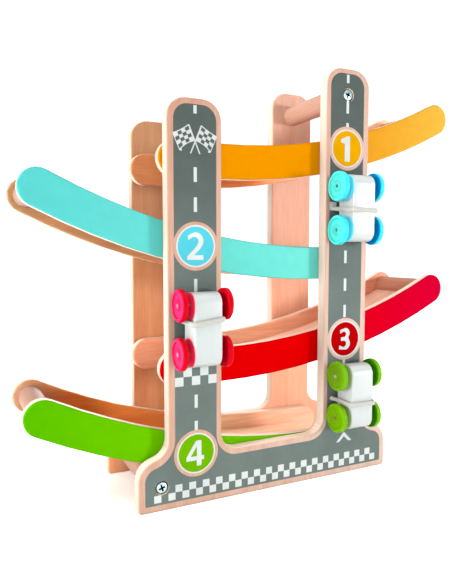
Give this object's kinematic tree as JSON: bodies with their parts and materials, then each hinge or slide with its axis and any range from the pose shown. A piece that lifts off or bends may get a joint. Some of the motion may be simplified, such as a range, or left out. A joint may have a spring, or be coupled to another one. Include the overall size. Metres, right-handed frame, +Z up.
{
  "type": "wooden racing track",
  "caption": "Wooden toy racing track with curved ramps between two U-shaped panels and small wheeled cars tied to its front posts by elastic loops.",
  "frame": {"origin": "middle of the whole object's outer box, on the surface that it stands on", "axes": "+X to the right along the printed front face, +Y from the front panel to the back panel, +Z up"},
  "size_m": [0.343, 0.1102, 0.3064],
  "materials": {
    "birch": "satin varnished plywood, grey road print on the front panel",
    "beech": "satin",
    "yellow_paint": "satin paint on the outer face",
    "blue_paint": "satin paint on the outer face",
    "red_paint": "satin paint on the outer face",
    "green_paint": "satin paint on the outer face",
    "white_paint": "gloss paint",
    "blue_plastic": "gloss",
    "red_plastic": "gloss",
    "green_plastic": "gloss",
    "steel": "zinc plated",
    "elastic_cord": "woven"
  },
  "bodies": {
    "frame": {"front_panel": "birch", "back_panel": "birch", "top_crossbar": "beech", "top_screw_front": "steel", "top_screw_back": "steel", "base_crossbar": "beech", "base_screw_front": "steel", "base_screw_back": "steel", "ramp_1_front_rail": "yellow_paint", "ramp_1_back_rail": "birch", "ramp_1_floor": "birch", "ramp_1_end_bar": "beech", "ramp_2_front_rail": "blue_paint", "ramp_2_back_rail": "birch", "ramp_2_floor": "birch", "ramp_2_end_bar": "beech", "ramp_3_front_rail": "red_paint", "ramp_3_back_rail": "birch", "ramp_3_floor": "birch", "ramp_3_end_bar": "beech", "ramp_4_front_rail": "green_paint", "ramp_4_back_rail": "birch", "ramp_4_floor": "birch", "ramp_4_end_bar": "beech", "blue_car_elastic": "elastic_cord", "red_car_elastic": "elastic_cord", "green_car_elastic": "elastic_cord"},
    "blue_car": {"blue_car_body": "white_paint"},
    "blue_car_upper_wheels": {"blue_car_upper_axle": "steel", "blue_car_upper_left_wheel": "blue_plastic", "blue_car_upper_right_wheel": "blue_plastic"},
    "blue_car_lower_wheels": {"blue_car_lower_axle": "steel", "blue_car_lower_left_wheel": "blue_plastic", "blue_car_lower_right_wheel": "blue_plastic"},
    "red_car": {"red_car_body": "white_paint"},
    "red_car_upper_wheels": {"red_car_upper_axle": "steel", "red_car_upper_left_wheel": "red_plastic", "red_car_upper_right_wheel": "red_plastic"},
    "red_car_lower_wheels": {"red_car_lower_axle": "steel", "red_car_lower_left_wheel": "red_plastic", "red_car_lower_right_wheel": "red_plastic"},
    "green_car": {"green_car_body": "white_paint"},
    "green_car_upper_wheels": {"green_car_upper_axle": "steel", "green_car_upper_left_wheel": "green_plastic", "green_car_upper_right_wheel": "green_plastic"},
    "green_car_lower_wheels": {"green_car_lower_axle": "steel", "green_car_lower_left_wheel": "green_plastic", "green_car_lower_right_wheel": "green_plastic"}
  },
  "joints": [
    {"name": "blue_car_pull", "type": "slide", "parent": "frame", "child": "blue_car", "axis": [0, -1, 0], "range_m": [0, 0.03], "stiffness_N_per_m": 80, "deforming": ["blue_car_elastic"]},
    {"name": "blue_car_upper_axle_turn", "type": "hinge", "parent": "blue_car", "child": "blue_car_upper_wheels", "pos_m": [0.0616, -0.0419, 0.2189], "axis": [1, 0, 0], "continuous": true},
    {"name": "blue_car_lower_axle_turn", "type": "hinge", "parent": "blue_car", "child": "blue_car_lower_wheels", "pos_m": [0.0616, -0.0419, 0.1875], "axis": [1, 0, 0], "continuous": true},
    {"name": "red_car_pull", "type": "slide", "parent": "frame", "child": "red_car", "axis": [0, -1, 0], "range_m": [0, 0.03], "stiffness_N_per_m": 80, "deforming": ["red_car_elastic"]},
    {"name": "red_car_upper_axle_turn", "type": "hinge", "parent": "red_car", "child": "red_car_upper_wheels", "pos_m": [-0.0615, -0.0419, 0.1377], "axis": [1, 0, 0], "continuous": true},
    {"name": "red_car_lower_axle_turn", "type": "hinge", "parent": "red_car", "child": "red_car_lower_wheels", "pos_m": [-0.0615, -0.0419, 0.1063], "axis": [1, 0, 0], "continuous": true},
    {"name": "green_car_pull", "type": "slide", "parent": "frame", "child": "green_car", "axis": [0, -1, 0], "range_m": [0, 0.03], "stiffness_N_per_m": 80, "deforming": ["green_car_elastic"]},
    {"name": "green_car_upper_axle_turn", "type": "hinge", "parent": "green_car", "child": "green_car_upper_wheels", "pos_m": [0.0628, -0.0419, 0.0799], "axis": [1, 0, 0], "continuous": true},
    {"name": "green_car_lower_axle_turn", "type": "hinge", "parent": "green_car", "child": "green_car_lower_wheels", "pos_m": [0.0628, -0.0419, 0.0485], "axis": [1, 0, 0], "continuous": true}
  ]
}
